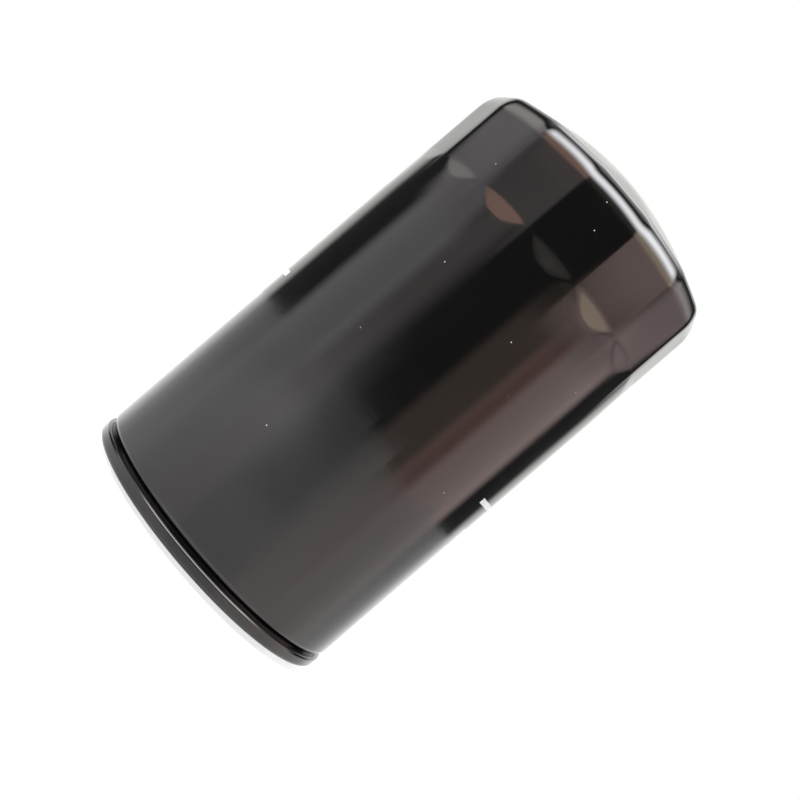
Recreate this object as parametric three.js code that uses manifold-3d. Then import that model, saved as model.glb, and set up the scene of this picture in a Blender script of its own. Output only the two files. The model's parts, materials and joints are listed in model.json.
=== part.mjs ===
// Spin-on oil filter of the long diesel type: a drawn steel can with fifteen wrench flats,
// a seamed base with its sealing gasket, and a spring-loaded paper element inside that
// carries the bypass valve. Millimetres, +Z up towards the dome. The origin is the centre of
// the gasket's sealing face, on the thread's axis.
import * as THREE from "three";
import { mergeVertices } from "three/addons/utils/BufferGeometryUtils.js";
import Module from "manifold-3d";

const wasm = await Module();
wasm.setup();

// ---------------------------------------------------------------- driving dimensions

// Overall
const OVERALL_HEIGHT = 169;
const BODY_RADIUS = 47.3;

// Clearances
const TOUCH = 0.1; // between faces that rest on each other
const FIT = 0.25; // between round walls, one inside the other

// Can
const CAN_SHEET = 0.6;
const DOME_RISE = 12.4;
const DOME_POWER = 1.47; // 1 would be a cone, 2 a paraboloid
const SHOULDER_RADIUS = 5.2;
const FLAT_COUNT = 15;
const FLAT_DEPTH = 1; // at the middle of a flat
const FLAT_CORNER_RADIUS = 5;
const FLAT_HEIGHT = 25;
const FLAT_RUNOUT = 5.4;
const FLAT_FADE = 0.6; // share of the dome's radius within which a flat no longer shows
const NECK_IN_HEIGHT = 4;

// Rolled seam
const SEAM_PROUD = 0.5; // beyond the can's wall
const SEAM_HEIGHT = 4.8;
const SEAM_EDGE = 1.1; // rounding of the seam's outer edges
const HOOK_LENGTH = 2.4;
const HOOK_GAP = 0.45;
const HOOK_EDGE = 0.2; // inside the hook's bends

// Seam cover and gasket
const COVER_SHEET = 0.7;
const PANEL_RECESS = 1.2; // of the cover's flat panel, from the seam's end
const WELD_FLANGE = 2.3;
const GASKET_INNER_RADIUS = 31;
const GASKET_WIDTH = 4.5;
const GASKET_THICKNESS = 5;
const GASKET_PROUD = 1.8; // beyond the seam's end
const GASKET_CHAMFER = 0.5;

// Tapping plate: thread M27 x 2
const THREAD_MINOR_RADIUS = 12.42;
const THREAD_CHAMFER = 1.2;
const NECK_WALL = 3.6;
const NECK_HEIGHT = 9.7; // above the plate's dished middle
const PLATE_THICKNESS = 3.5;
const BOSS_HEIGHT = 0.4;
const BOSS_WIDTH = 3.2;
const INLET_COUNT = 8;
const INLET_WEB = 1; // metal left between an inlet and the seam cover's flange

// Anti-drain valve
const DRAIN_VALVE_OVERLAP = 1.5; // of the valve over the plate, inside the inlets
const DRAIN_VALVE_THICKNESS = 1.4;
const DRAIN_SPRING_SHEET = 0.4;
const DRAIN_SPRING_HEIGHT = 3.4;
const DRAIN_SPRING_WIDTH = 4;
const DRAIN_SPRING_WAVES = 3;

// Filter element
const FLOW_GAP = 3.4; // from the wrench flats' inside to the end caps
const CAP_SHEET = 0.6;
const CAP_RIM = 4.4;
const SEAL_WALL = 0.9;
const SEAL_LIP = 0.8;
const SEAL_FLANGE = 1.1;
const TUBE_SHEET = 0.8;
const TUBE_HOLE_RADIUS = 2.3;
const TUBE_HOLE_ROWS = 6;
const TUBE_HOLES_AROUND = 6;
const ADHESIVE = 1.2;
const PLEAT_COUNT = 50;
const PAPER = 0.55;
const CLIP_SHEET = 0.3;
const CLIP_DEPTH = 4.5;

// Bypass valve
const BYPASS_BORE_RADIUS = 8.5;
const BYPASS_SEAT_SHEET = 0.8;
const BYPASS_OVERLAP = 2.5; // of the seal over the seat's bore
const BYPASS_SEAL_THICKNESS = 1.4;
const BYPASS_DISC_THICKNESS = 1;
const BYPASS_WIRE = 1.2;
const BYPASS_SPRING_HEIGHT = 17;
const BYPASS_SPRING_TURNS = 5;
const CAGE_SHEET = 0.6;
const CAGE_FLANGE = 3.4;
const CAGE_WINDOWS = 4;
const CAGE_WINDOW_HEIGHT = 0.55; // share of the cage's height
const CAGE_WINDOW_WIDTH = 0.8; // share of the cage's radius
const STEM_RADIUS = 2.5;
const STEM_PROUD = 1.8; // below the cage
const RIVET_HEAD_RADIUS = 4.4;
const RIVET_HEAD_HEIGHT = 0.9;

// Support spring
const SUPPORT_WIRE = 2.4;
const SUPPORT_HEIGHT = 24;
const SUPPORT_SLACK = 0.12; // between the spring and the dome's sloping sheet
const SUPPORT_BASE_RADIUS = 19;
const SUPPORT_TOP_RADIUS = 13;
const SUPPORT_TURNS = 3.5;

// Facets of round pieces
const CAN_SEGMENTS = 4 * FLAT_COUNT;
const DOME_RINGS = 3;
const ROUND_SEGMENTS = 36;
const SMALL_SEGMENTS = 20;

// ---------------------------------------------------------------- levels and radii that follow

const seamEndZ = GASKET_PROUD;
const seamTopZ = seamEndZ + SEAM_HEIGHT;
const shoulderAngle = Math.atan((DOME_RISE * DOME_POWER) / BODY_RADIUS);
const shoulderRise = SHOULDER_RADIUS * Math.cos(shoulderAngle);
const domeEdgeRadius = BODY_RADIUS - SHOULDER_RADIUS * (1 - Math.sin(shoulderAngle));
const domeEdgeZ = OVERALL_HEIGHT - DOME_RISE;
const flatTopZ = domeEdgeZ - shoulderRise;
const flatBottomZ = flatTopZ - FLAT_HEIGHT;

// The rolled seam, from its outer face inwards
const seamRadius = BODY_RADIUS + SEAM_PROUD;
const hookOuter = seamRadius - COVER_SHEET - FIT;
const hookInner = hookOuter - CAN_SHEET;
const neckInOuter = hookInner - HOOK_GAP;
const neckInInner = neckInOuter - CAN_SHEET;
const chuckInner = neckInInner - FIT - COVER_SHEET;

// The base, from the gasket upwards
const panelZ = seamEndZ + PANEL_RECESS;
const grooveRoofZ = GASKET_THICKNESS + TOUCH;
const grooveInner = GASKET_INNER_RADIUS - FIT;
const gasketOuter = GASKET_INNER_RADIUS + GASKET_WIDTH;
const grooveOuter = gasketOuter + FIT;
const flangeInner = grooveInner - COVER_SHEET - WELD_FLANGE;
const plateZ = panelZ + COVER_SHEET + TOUCH;
const plateTopZ = plateZ + PLATE_THICKNESS;
const plateRimZ = grooveRoofZ + COVER_SHEET + TOUCH;
const plateDishRadius = grooveInner - COVER_SHEET - FIT;
const neckOuter = THREAD_MINOR_RADIUS + NECK_WALL;
const neckTopZ = plateTopZ + NECK_HEIGHT;
const sealInner = neckOuter + FIT;
const capHole = sealInner + SEAL_WALL + FIT;
const sealLipRadius = capHole + SEAL_LIP;
const drainValveInner = sealLipRadius + FIT;
const inletInner = drainValveInner + DRAIN_VALVE_OVERLAP;
const inletOuter = flangeInner - INLET_WEB;
const inletCircle = (inletInner + inletOuter) / 2;
const inletRadius = (inletOuter - inletInner) / 2;

// The element, from the anti-drain valve upwards
const drainValveZ = plateTopZ + TOUCH;
const drainSpringZ = drainValveZ + DRAIN_VALVE_THICKNESS + TOUCH;
const lowerCapZ = drainSpringZ + DRAIN_SPRING_HEIGHT + TOUCH;
const tubeInner = sealLipRadius + FIT;
const tubeOuter = tubeInner + TUBE_SHEET;
const capRadius = BODY_RADIUS - CAN_SHEET - FLAT_DEPTH - FLOW_GAP;
const springTopZ = domeZ(SUPPORT_TOP_RADIUS + SUPPORT_WIRE / 2) - CAN_SHEET - SUPPORT_SLACK - TOUCH;
const upperCapTopZ = springTopZ + TOUCH - SUPPORT_HEIGHT;
const upperCapZ = upperCapTopZ - CAP_SHEET;
const tubeZ = lowerCapZ + CAP_SHEET + TOUCH;
const tubeTopZ = upperCapZ - TOUCH;
const mediaZ = tubeZ + ADHESIVE + TOUCH;
const mediaTopZ = tubeTopZ - ADHESIVE - TOUCH;
const mediaInner = tubeOuter + TOUCH + FIT;
const mediaOuter = capRadius - CAP_SHEET - CLIP_SHEET - 2 * FIT;

// The bypass valve, from the upper cap downwards
const seatTopZ = upperCapZ - TOUCH;
const seatZ = seatTopZ - BYPASS_SEAT_SHEET;
const valvePlateRadius = tubeInner - FIT;
const bypassSealRadius = BYPASS_BORE_RADIUS + BYPASS_OVERLAP;
const bypassSealZ = seatZ - TOUCH - BYPASS_SEAL_THICKNESS;
const bypassDiscZ = bypassSealZ - TOUCH - BYPASS_DISC_THICKNESS;
const cageOuter = valvePlateRadius - CAGE_FLANGE;
const bypassSpringZ = bypassDiscZ - TOUCH - BYPASS_SPRING_HEIGHT;
const cageZ = bypassSpringZ - TOUCH - CAGE_SHEET;
const stemEndZ = cageZ - STEM_PROUD;

// ---------------------------------------------------------------- geometry helpers

const point = (r, z) => new THREE.Vector2(r, z);

// Height of the can's outside over the dome, at a distance from the axis.
function domeZ(radius) {
  return OVERALL_HEIGHT - DOME_RISE * (radius / domeEdgeRadius) ** DOME_POWER;
}

// Twice the signed area of a closed outline.
function signedArea(outline) {
  return outline.reduce((sum, p, i) => sum + p.cross(outline[(i + 1) % outline.length]), 0);
}

// A closed (radius, z) outline, turned round +Z with its faces pointing out.
function revolve(outline, segments = ROUND_SEGMENTS) {
  const loop = signedArea(outline) > 0 ? [...outline] : [...outline].reverse();
  const onAxis = loop.findIndex((p, i) => p.x === 0 && loop[(i + 1) % loop.length].x === 0);
  const opened = loop.map((_, i) => loop[(i + onAxis + 1) % loop.length]);
  const profile = onAxis < 0 ? [...loop, loop[0]] : opened;
  return new THREE.LatheGeometry(profile, segments).rotateX(Math.PI / 2);
}

// A plain ring of rectangular section.
function ring(inner, outer, bottom, top, segments) {
  const outline = [point(inner, bottom), point(outer, bottom), point(outer, top), point(inner, top)];
  return revolve(outline, segments);
}

// The outline of bent sheet metal: a face's path, and the same path one thickness to its left.
function bentSheet(path, thickness) {
  const normals = path.slice(1).map((p, i) => {
    const along = p.clone().sub(path[i]).normalize();
    return point(-along.y, along.x);
  });
  const back = path.map((p, i) => {
    const before = normals[Math.max(i - 1, 0)];
    const after = normals[Math.min(i, normals.length - 1)];
    const mitre = before.clone().add(after).normalize();
    const offset = p.clone().addScaledVector(mitre, thickness / mitre.dot(after));
    return p.x === 0 ? point(0, offset.y) : offset;
  });
  return [...path, ...back.reverse()];
}

// Points of an arc in the (radius, z) plane, both ends included.
function arc(centre, radius, from, to, steps) {
  return Array.from({ length: steps + 1 }, (_, i) => {
    const angle = from + ((to - from) * i) / steps;
    return point(centre.x + radius * Math.cos(angle), centre.y + radius * Math.sin(angle));
  });
}

function solid(geometry) {
  const bare = geometry.clone();
  bare.deleteAttribute("normal");
  bare.deleteAttribute("uv");
  const merged = mergeVertices(bare, 1e-4);
  return new wasm.Manifold(
    new wasm.Mesh({
      numProp: 3,
      vertProperties: merged.attributes.position.array,
      triVerts: new Uint32Array(merged.index.array),
    }),
  );
}

function geometryOf(manifold) {
  const mesh = manifold.getMesh();
  return new THREE.BufferGeometry()
    .setAttribute("position", new THREE.BufferAttribute(mesh.vertProperties, 3))
    .setIndex(new THREE.BufferAttribute(mesh.triVerts, 1))
    .toNonIndexed();
}

// Cuts every tool away from a geometry.
function cut(geometry, tools) {
  const all = tools.map(solid).reduce((joined, tool) => joined.add(tool));
  return geometryOf(solid(geometry).subtract(all));
}

// A round wire of six sides, wound between two heights. The end turns lie closer together.
function coil({ bottomRadius, topRadius, bottom, top, wire, turns, stepsPerTurn }) {
  const END_CLOSING = 0.5;
  class Helix extends THREE.Curve {
    getPoint(t, target = new THREE.Vector3()) {
      const angle = 2 * Math.PI * turns * t;
      const radius = bottomRadius + (topRadius - bottomRadius) * t;
      const rise = t - (END_CLOSING * Math.sin(2 * Math.PI * t)) / (2 * Math.PI);
      const z = bottom + wire / 2 + (top - bottom - wire) * rise;
      return target.set(radius * Math.cos(angle), radius * Math.sin(angle), z);
    }
  }
  const sides = 6;
  const section = new THREE.Shape(
    Array.from({ length: sides }, (_, i) => {
      const angle = (2 * Math.PI * i) / sides;
      return point((wire / 2) * Math.cos(angle), (wire / 2) * Math.sin(angle));
    }),
  );
  const steps = Math.round(turns * stepsPerTurn);
  return new THREE.ExtrudeGeometry(section, { steps, extrudePath: new Helix(), bevelEnabled: false });
}

// ---------------------------------------------------------------- can

// Distance from the axis to the ring of wrench flats, at an angle from the middle of a flat.
function flatsRadius(angle) {
  const half = Math.PI / FLAT_COUNT;
  const apothem = BODY_RADIUS - FLAT_DEPTH;
  const rounded = apothem / Math.cos(half) - FLAT_CORNER_RADIUS * (1 / Math.cos(half) - 1);
  return Math.min(apothem / Math.cos(angle), rounded);
}

// How much of a flat's depth is pressed in at a height: none below, all beside the wrench,
// and fading out over the dome.
function flatShare(radius, z) {
  const belowDome = THREE.MathUtils.smoothstep(z, flatBottomZ, flatBottomZ + FLAT_RUNOUT);
  const overDome = THREE.MathUtils.smoothstep(radius, domeEdgeRadius * FLAT_FADE, domeEdgeRadius);
  return belowDome * (z > flatTopZ + CAN_SHEET ? overDome : 1);
}

function outerCan() {
  const shoulder = arc(
    point(BODY_RADIUS - SHOULDER_RADIUS, flatTopZ),
    SHOULDER_RADIUS,
    0,
    Math.PI / 2 - shoulderAngle,
    2,
  );
  const dome = Array.from({ length: DOME_RINGS }, (_, i) => {
    const radius = domeEdgeRadius * (1 - (i + 1) / DOME_RINGS);
    return point(radius, domeZ(radius));
  });
  const hookBottomZ = seamEndZ + COVER_SHEET + TOUCH + CAN_SHEET;
  const path = [
    point(hookInner, hookBottomZ + HOOK_LENGTH - CAN_SHEET),
    point(hookInner, hookBottomZ + HOOK_EDGE),
    point(hookInner - HOOK_EDGE, hookBottomZ),
    point(neckInOuter + HOOK_EDGE, hookBottomZ),
    point(neckInOuter, hookBottomZ + HOOK_EDGE),
    point(neckInOuter, seamTopZ),
    point(BODY_RADIUS, seamTopZ + NECK_IN_HEIGHT),
    point(BODY_RADIUS, flatBottomZ),
    point(BODY_RADIUS, flatBottomZ + FLAT_RUNOUT),
    ...shoulder,
    ...dome,
  ];
  const can = revolve(bentSheet(path, CAN_SHEET), CAN_SEGMENTS);
  return pressFlats(can);
}

function pressFlats(can) {
  const position = can.getAttribute("position");
  const pitch = (2 * Math.PI) / FLAT_COUNT;
  for (let i = 0; i < position.count; i++) {
    const x = position.getX(i);
    const y = position.getY(i);
    const radius = Math.hypot(x, y);
    const fromFlat = Math.atan2(x, -y); // a flat faces -Y
    const angle = fromFlat - pitch * Math.round(fromFlat / pitch);
    const depth = (BODY_RADIUS - flatsRadius(angle)) * flatShare(radius, position.getZ(i));
    const scale = radius > 0 ? (radius - depth) / radius : 1;
    position.setXY(i, x * scale, y * scale);
  }
  return can;
}

// ---------------------------------------------------------------- base

function seamCover() {
  const path = [
    point(flangeInner, panelZ),
    point(grooveInner, panelZ),
    point(grooveInner, grooveRoofZ),
    point(grooveOuter, grooveRoofZ),
    point(grooveOuter, panelZ),
    point(chuckInner, panelZ),
    point(chuckInner, seamEndZ + SEAM_EDGE / 2),
    point(chuckInner + SEAM_EDGE / 2, seamEndZ),
    point(seamRadius - SEAM_EDGE, seamEndZ),
    point(seamRadius, seamEndZ + SEAM_EDGE),
    point(seamRadius, seamTopZ),
    point(neckInOuter + FIT, seamTopZ),
  ];
  return revolve(bentSheet(path, COVER_SHEET), CAN_SEGMENTS);
}

function gasket() {
  const c = GASKET_CHAMFER;
  return revolve([
    point(GASKET_INNER_RADIUS, c),
    point(GASKET_INNER_RADIUS + c, 0),
    point(gasketOuter - c, 0),
    point(gasketOuter, c),
    point(gasketOuter, GASKET_THICKNESS),
    point(GASKET_INNER_RADIUS, GASKET_THICKNESS),
  ]);
}

function tappingPlate() {
  const plateRadius = neckInInner - FIT;
  const bossZ = plateZ - BOSS_HEIGHT;
  const bossOuter = THREAD_MINOR_RADIUS + BOSS_WIDTH;
  const plate = revolve([
    point(THREAD_MINOR_RADIUS, bossZ + THREAD_CHAMFER),
    point(THREAD_MINOR_RADIUS + THREAD_CHAMFER, bossZ),
    point(bossOuter, bossZ),
    point(bossOuter + BOSS_HEIGHT, plateZ),
    point(plateDishRadius, plateZ),
    point(plateDishRadius, plateRimZ),
    point(plateRadius, plateRimZ),
    point(plateRadius, plateRimZ + PLATE_THICKNESS),
    point(plateDishRadius + PLATE_THICKNESS / 2, plateRimZ + PLATE_THICKNESS),
    point(plateDishRadius, plateTopZ),
    point(neckOuter, plateTopZ),
    point(neckOuter, neckTopZ),
    point(THREAD_MINOR_RADIUS + THREAD_CHAMFER, neckTopZ),
    point(THREAD_MINOR_RADIUS, neckTopZ - THREAD_CHAMFER),
  ]);
  const inletSides = 10;
  const inlets = Array.from({ length: INLET_COUNT }, (_, i) => {
    const angle = (2 * Math.PI * i) / INLET_COUNT;
    return new THREE.CylinderGeometry(inletRadius, inletRadius, 4 * PLATE_THICKNESS, inletSides)
      .rotateX(Math.PI / 2)
      .translate(inletCircle * Math.cos(angle), inletCircle * Math.sin(angle), plateZ);
  });
  return cut(plate, inlets);
}

function drainValve() {
  const outer = plateDishRadius - FIT;
  return ring(drainValveInner, outer, drainValveZ, drainValveZ + DRAIN_VALVE_THICKNESS);
}

// A wave spring: a flat ring whose height goes up and down round it.
function drainSpring() {
  const inner = drainValveInner;
  const thickness = DRAIN_SPRING_SHEET;
  const wave = ring(inner, inner + DRAIN_SPRING_WIDTH, 0, thickness);
  const swing = (DRAIN_SPRING_HEIGHT - thickness) / 2;
  const position = wave.getAttribute("position");
  for (let i = 0; i < position.count; i++) {
    const angle = Math.atan2(position.getY(i), position.getX(i));
    const lift = swing * (1 + Math.cos(DRAIN_SPRING_WAVES * angle));
    position.setZ(i, position.getZ(i) + drainSpringZ + lift);
  }
  return wave;
}

// ---------------------------------------------------------------- element

// The rubber grommet round the plate's neck. It grips the element's lower cap, and the
// element stands on its foot.
function neckSeal() {
  const web = sealInner + SEAL_WALL;
  const footZ = plateTopZ + TOUCH;
  const capTopZ = lowerCapZ + CAP_SHEET;
  return revolve([
    point(sealInner, footZ),
    point(sealLipRadius, footZ),
    point(sealLipRadius, lowerCapZ - TOUCH),
    point(web, lowerCapZ - TOUCH),
    point(web, capTopZ + TOUCH),
    point(sealLipRadius, capTopZ + TOUCH),
    point(sealLipRadius, capTopZ + TOUCH + SEAL_FLANGE),
    point(sealInner, capTopZ + TOUCH + SEAL_FLANGE),
  ]);
}

function lowerEndCap() {
  const path = [
    point(capHole, lowerCapZ),
    point(capRadius, lowerCapZ),
    point(capRadius, lowerCapZ + CAP_RIM),
  ];
  return revolve(bentSheet(path, CAP_SHEET));
}

function upperEndCap() {
  const path = [
    point(capRadius, upperCapTopZ - CAP_RIM),
    point(capRadius, upperCapTopZ),
    point(bypassSealRadius, upperCapTopZ),
  ];
  return revolve(bentSheet(path, CAP_SHEET));
}

function adhesive(bottom) {
  return ring(mediaInner, mediaOuter, bottom, bottom + ADHESIVE);
}

// Half the angle between two pleats, and how far a fold's blunt tip reaches to each side.
const halfPitch = Math.PI / PLEAT_COUNT;
const foldTip = PAPER;

function polar(radius, angle, aside = 0) {
  const cos = Math.cos(angle);
  const sin = Math.sin(angle);
  return point(radius * cos - aside * sin, radius * sin + aside * cos);
}

// Paper folded to and fro between two radii, with blunt folds, as one closed band.
function pleatedMedia() {
  const outside = [];
  const inside = [];
  const depth = 2 * PAPER;
  for (let i = 0; i < PLEAT_COUNT; i++) {
    const crest = 2 * halfPitch * i;
    const valley = crest + halfPitch;
    outside.push(polar(mediaOuter, crest, -foldTip), polar(mediaOuter, crest, foldTip));
    outside.push(polar(mediaInner + depth, valley));
    inside.push(polar(mediaOuter - depth, crest));
    inside.push(polar(mediaInner, valley, -foldTip), polar(mediaInner, valley, foldTip));
  }
  const band = new THREE.Shape(outside);
  band.holes.push(new THREE.Path(inside));
  const settings = { depth: mediaTopZ - mediaZ, bevelEnabled: false };
  return new THREE.ExtrudeGeometry(band, settings).translate(0, 0, mediaZ);
}

// The U-shaped strip that joins the paper's two ends, over the crest that faces +X.
function mediaSeamClip() {
  const valley = polar(mediaInner + 2 * PAPER, halfPitch);
  const slope = (valley.y - foldTip) / (mediaOuter - valley.x);
  const aside = (x) => foldTip + FIT + slope * (mediaOuter - x);
  const tip = mediaOuter + FIT / 2;
  const end = mediaOuter - CLIP_DEPTH;
  const path = [
    point(end, aside(end)),
    point(tip, aside(tip)),
    point(tip, -aside(tip)),
    point(end, -aside(end)),
  ];
  const section = new THREE.Shape(bentSheet(path, CLIP_SHEET));
  const settings = { depth: mediaTopZ - mediaZ, bevelEnabled: false };
  return new THREE.ExtrudeGeometry(section, settings).translate(0, 0, mediaZ);
}

function centreTube() {
  const tube = ring(tubeInner, tubeOuter, tubeZ, tubeTopZ);
  const length = tubeTopZ - tubeZ;
  const rowPitch = length / (TUBE_HOLE_ROWS + 1);
  const holeSides = 6;
  const holes = [];
  for (let row = 0; row < TUBE_HOLE_ROWS; row++) {
    for (let i = 0; i < TUBE_HOLES_AROUND; i++) {
      const angle = (2 * Math.PI * (i + (row % 2) / 2)) / TUBE_HOLES_AROUND;
      holes.push(
        new THREE.CylinderGeometry(TUBE_HOLE_RADIUS, TUBE_HOLE_RADIUS, 6 * TUBE_SHEET, holeSides)
          .rotateZ(Math.PI / 2)
          .translate(tubeInner, 0, 0)
          .rotateZ(angle)
          .translate(0, 0, tubeZ + rowPitch * (row + 1)),
      );
    }
  }
  return cut(tube, holes);
}

// ---------------------------------------------------------------- bypass valve

function bypassSeat() {
  return ring(BYPASS_BORE_RADIUS, valvePlateRadius, seatZ, seatTopZ);
}

function bypassCage() {
  const flangeZ = seatZ - TOUCH - CAGE_SHEET;
  const path = [
    point(STEM_RADIUS + FIT, cageZ),
    point(cageOuter, cageZ),
    point(cageOuter, flangeZ),
    point(valvePlateRadius, flangeZ),
  ];
  const cup = revolve(bentSheet(path, CAGE_SHEET));
  const windowHeight = (flangeZ - cageZ) * CAGE_WINDOW_HEIGHT;
  const windowWidth = cageOuter * CAGE_WINDOW_WIDTH;
  const windowDepth = 4 * CAGE_SHEET;
  const windows = Array.from({ length: CAGE_WINDOWS }, (_, i) =>
    new THREE.BoxGeometry(windowDepth, windowWidth, windowHeight)
      .translate(cageOuter + (CAGE_SHEET - windowDepth) / 2, 0, (cageZ + flangeZ) / 2)
      .rotateZ((2 * Math.PI * i) / CAGE_WINDOWS),
  );
  return cut(cup, windows);
}

function bypassDisc() {
  const inner = STEM_RADIUS + TOUCH;
  return ring(inner, bypassSealRadius, bypassDiscZ, bypassDiscZ + BYPASS_DISC_THICKNESS, SMALL_SEGMENTS);
}

function bypassSeal() {
  const inner = STEM_RADIUS + TOUCH;
  return ring(inner, bypassSealRadius, bypassSealZ, bypassSealZ + BYPASS_SEAL_THICKNESS, SMALL_SEGMENTS);
}

// A rivet whose head holds the seal on the disc and whose long shank is the valve's guide.
function bypassRivet() {
  const headZ = bypassSealZ + BYPASS_SEAL_THICKNESS + TOUCH;
  return revolve(
    [
      point(0, stemEndZ),
      point(STEM_RADIUS, stemEndZ),
      point(STEM_RADIUS, headZ),
      point(RIVET_HEAD_RADIUS, headZ),
      point(RIVET_HEAD_RADIUS - RIVET_HEAD_HEIGHT, headZ + RIVET_HEAD_HEIGHT),
      point(0, headZ + RIVET_HEAD_HEIGHT),
    ],
    SMALL_SEGMENTS,
  );
}

function bypassSpring() {
  const radius = (STEM_RADIUS + cageOuter) / 2;
  return coil({
    bottomRadius: radius,
    topRadius: radius,
    bottom: bypassSpringZ,
    top: bypassSpringZ + BYPASS_SPRING_HEIGHT,
    wire: BYPASS_WIRE,
    turns: BYPASS_SPRING_TURNS,
    stepsPerTurn: 12,
  });
}

function supportSpring() {
  return coil({
    bottomRadius: SUPPORT_BASE_RADIUS,
    topRadius: SUPPORT_TOP_RADIUS,
    bottom: upperCapTopZ + TOUCH,
    top: springTopZ,
    wire: SUPPORT_WIRE,
    turns: SUPPORT_TURNS,
    stepsPerTurn: 16,
  });
}

// ---------------------------------------------------------------- materials and assembly

const paint = (color, roughness, metalness) =>
  new THREE.MeshStandardMaterial({ color, roughness, metalness });
const blackEnamel = paint(0x1c1b1d, 0.25, 0.2);
const bareSteel = paint(0x8d8f92, 0.4, 1);
const zincPlate = paint(0xb4b2a4, 0.4, 1);
const springSteel = paint(0x6f7276, 0.35, 1);
const blackRubber = paint(0x161616, 0.7, 0);
const redRubber = paint(0x9a3a22, 0.6, 0);
const filterPaper = paint(0xc98d3a, 0.9, 0);
const resin = paint(0xb9a77c, 0.5, 0);

const pieces = [
  ["outer_can", outerCan(), blackEnamel],
  ["seam_cover", seamCover(), blackEnamel],
  ["gasket", gasket(), blackRubber],
  ["tapping_plate", tappingPlate(), zincPlate],
  ["anti_drain_valve", drainValve(), redRubber],
  ["anti_drain_spring", drainSpring(), springSteel],
  ["neck_seal", neckSeal(), blackRubber],
  ["lower_end_cap", lowerEndCap(), bareSteel],
  ["lower_adhesive", adhesive(tubeZ), resin],
  ["pleated_media", pleatedMedia(), filterPaper],
  ["media_seam_clip", mediaSeamClip(), bareSteel],
  ["centre_tube", centreTube(), bareSteel],
  ["upper_adhesive", adhesive(tubeTopZ - ADHESIVE), resin],
  ["upper_end_cap", upperEndCap(), bareSteel],
  ["bypass_seat", bypassSeat(), bareSteel],
  ["bypass_cage", bypassCage(), bareSteel],
  ["bypass_spring", bypassSpring(), springSteel],
  ["bypass_disc", bypassDisc(), bareSteel],
  ["bypass_seal", bypassSeal(), blackRubber],
  ["bypass_rivet", bypassRivet(), zincPlate],
  ["support_spring", supportSpring(), springSteel],
];

const filter = new THREE.Group();
for (const [name, geometry, material] of pieces) {
  const mesh = new THREE.Mesh(geometry, material);
  mesh.name = name;
  filter.add(mesh);
}

export default filter;
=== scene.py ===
"""A spin-on oil filter: the fine surfaces, finishes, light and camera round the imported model.

Lengths in this script are in millimetres and are turned into metres where a mesh is made.
A profile is a list of (radius, height) points, turned round the filter's axis, +Z. A corner
may carry a third number, the radius that rounds it.
"""

import json
import math
from functools import lru_cache

import bmesh
import bpy
from mathutils import Matrix, Vector


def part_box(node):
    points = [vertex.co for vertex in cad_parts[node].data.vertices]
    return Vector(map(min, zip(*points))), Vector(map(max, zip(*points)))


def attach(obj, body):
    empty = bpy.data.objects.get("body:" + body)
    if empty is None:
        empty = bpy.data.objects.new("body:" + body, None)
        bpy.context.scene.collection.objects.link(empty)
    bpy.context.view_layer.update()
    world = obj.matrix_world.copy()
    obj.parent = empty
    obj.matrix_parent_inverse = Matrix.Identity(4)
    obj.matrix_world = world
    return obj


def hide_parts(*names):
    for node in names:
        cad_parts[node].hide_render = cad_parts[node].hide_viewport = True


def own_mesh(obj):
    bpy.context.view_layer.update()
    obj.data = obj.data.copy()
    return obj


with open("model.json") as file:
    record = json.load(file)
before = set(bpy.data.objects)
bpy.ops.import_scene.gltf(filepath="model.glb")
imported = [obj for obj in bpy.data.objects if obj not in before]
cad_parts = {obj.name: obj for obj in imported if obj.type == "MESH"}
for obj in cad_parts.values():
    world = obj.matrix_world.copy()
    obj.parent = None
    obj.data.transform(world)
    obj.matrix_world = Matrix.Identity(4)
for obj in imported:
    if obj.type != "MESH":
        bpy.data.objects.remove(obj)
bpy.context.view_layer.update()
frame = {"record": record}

MM = 0.001
BODY_OF = {
    node: body
    for body, nodes in frame["record"]["behaviour"]["bodies"].items()
    for node in nodes
}
SLOT_OF = {
    part["node"]: part["material_slot"] for part in frame["record"]["subparts"]
}

# ------------------------------------------------------------------ sizes


def span(node):
    """A node's outer radius, lowest and highest level, in millimetres."""
    low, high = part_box(node)
    return high.x / MM, low.z / MM, high.z / MM


BODY_RADIUS, CAN_LOW, CAN_TOP = span("outer_can")
SEAM_RADIUS, SEAM_LOW, SEAM_TOP = span("seam_cover")
GASKET_RADIUS, GASKET_LOW, GASKET_TOP = span("gasket")
PLATE_RADIUS, PLATE_LOW, PLATE_TOP = span("tapping_plate")
VALVE_RADIUS, VALVE_LOW, VALVE_TOP = span("anti_drain_valve")
WAVE_RADIUS, WAVE_LOW, WAVE_TOP = span("anti_drain_spring")
NECK_SEAL_RADIUS, NECK_SEAL_LOW, NECK_SEAL_TOP = span("neck_seal")
CAP_RADIUS, LOWER_CAP_LOW, LOWER_CAP_TOP = span("lower_end_cap")
_, UPPER_CAP_LOW, UPPER_CAP_TOP = span("upper_end_cap")
MEDIA_RADIUS, MEDIA_LOW, MEDIA_TOP = span("pleated_media")
_, CLIP_LOW, CLIP_TOP = span("media_seam_clip")
TUBE_RADIUS, TUBE_LOW, TUBE_TOP = span("centre_tube")
BED_RADIUS, LOWER_BED_LOW, LOWER_BED_TOP = span("lower_adhesive")
_, UPPER_BED_LOW, UPPER_BED_TOP = span("upper_adhesive")
SEAT_RADIUS, SEAT_LOW, SEAT_TOP = span("bypass_seat")
CAGE_RADIUS, CAGE_LOW, CAGE_TOP = span("bypass_cage")
DISC_RADIUS, DISC_LOW, DISC_TOP = span("bypass_disc")
WASHER_RADIUS, WASHER_LOW, WASHER_TOP = span("bypass_seal")
RIVET_RADIUS, RIVET_LOW, RIVET_TOP = span("bypass_rivet")
BYPASS_SPRING_RADIUS, BYPASS_SPRING_LOW, BYPASS_SPRING_TOP = span("bypass_spring")
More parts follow.
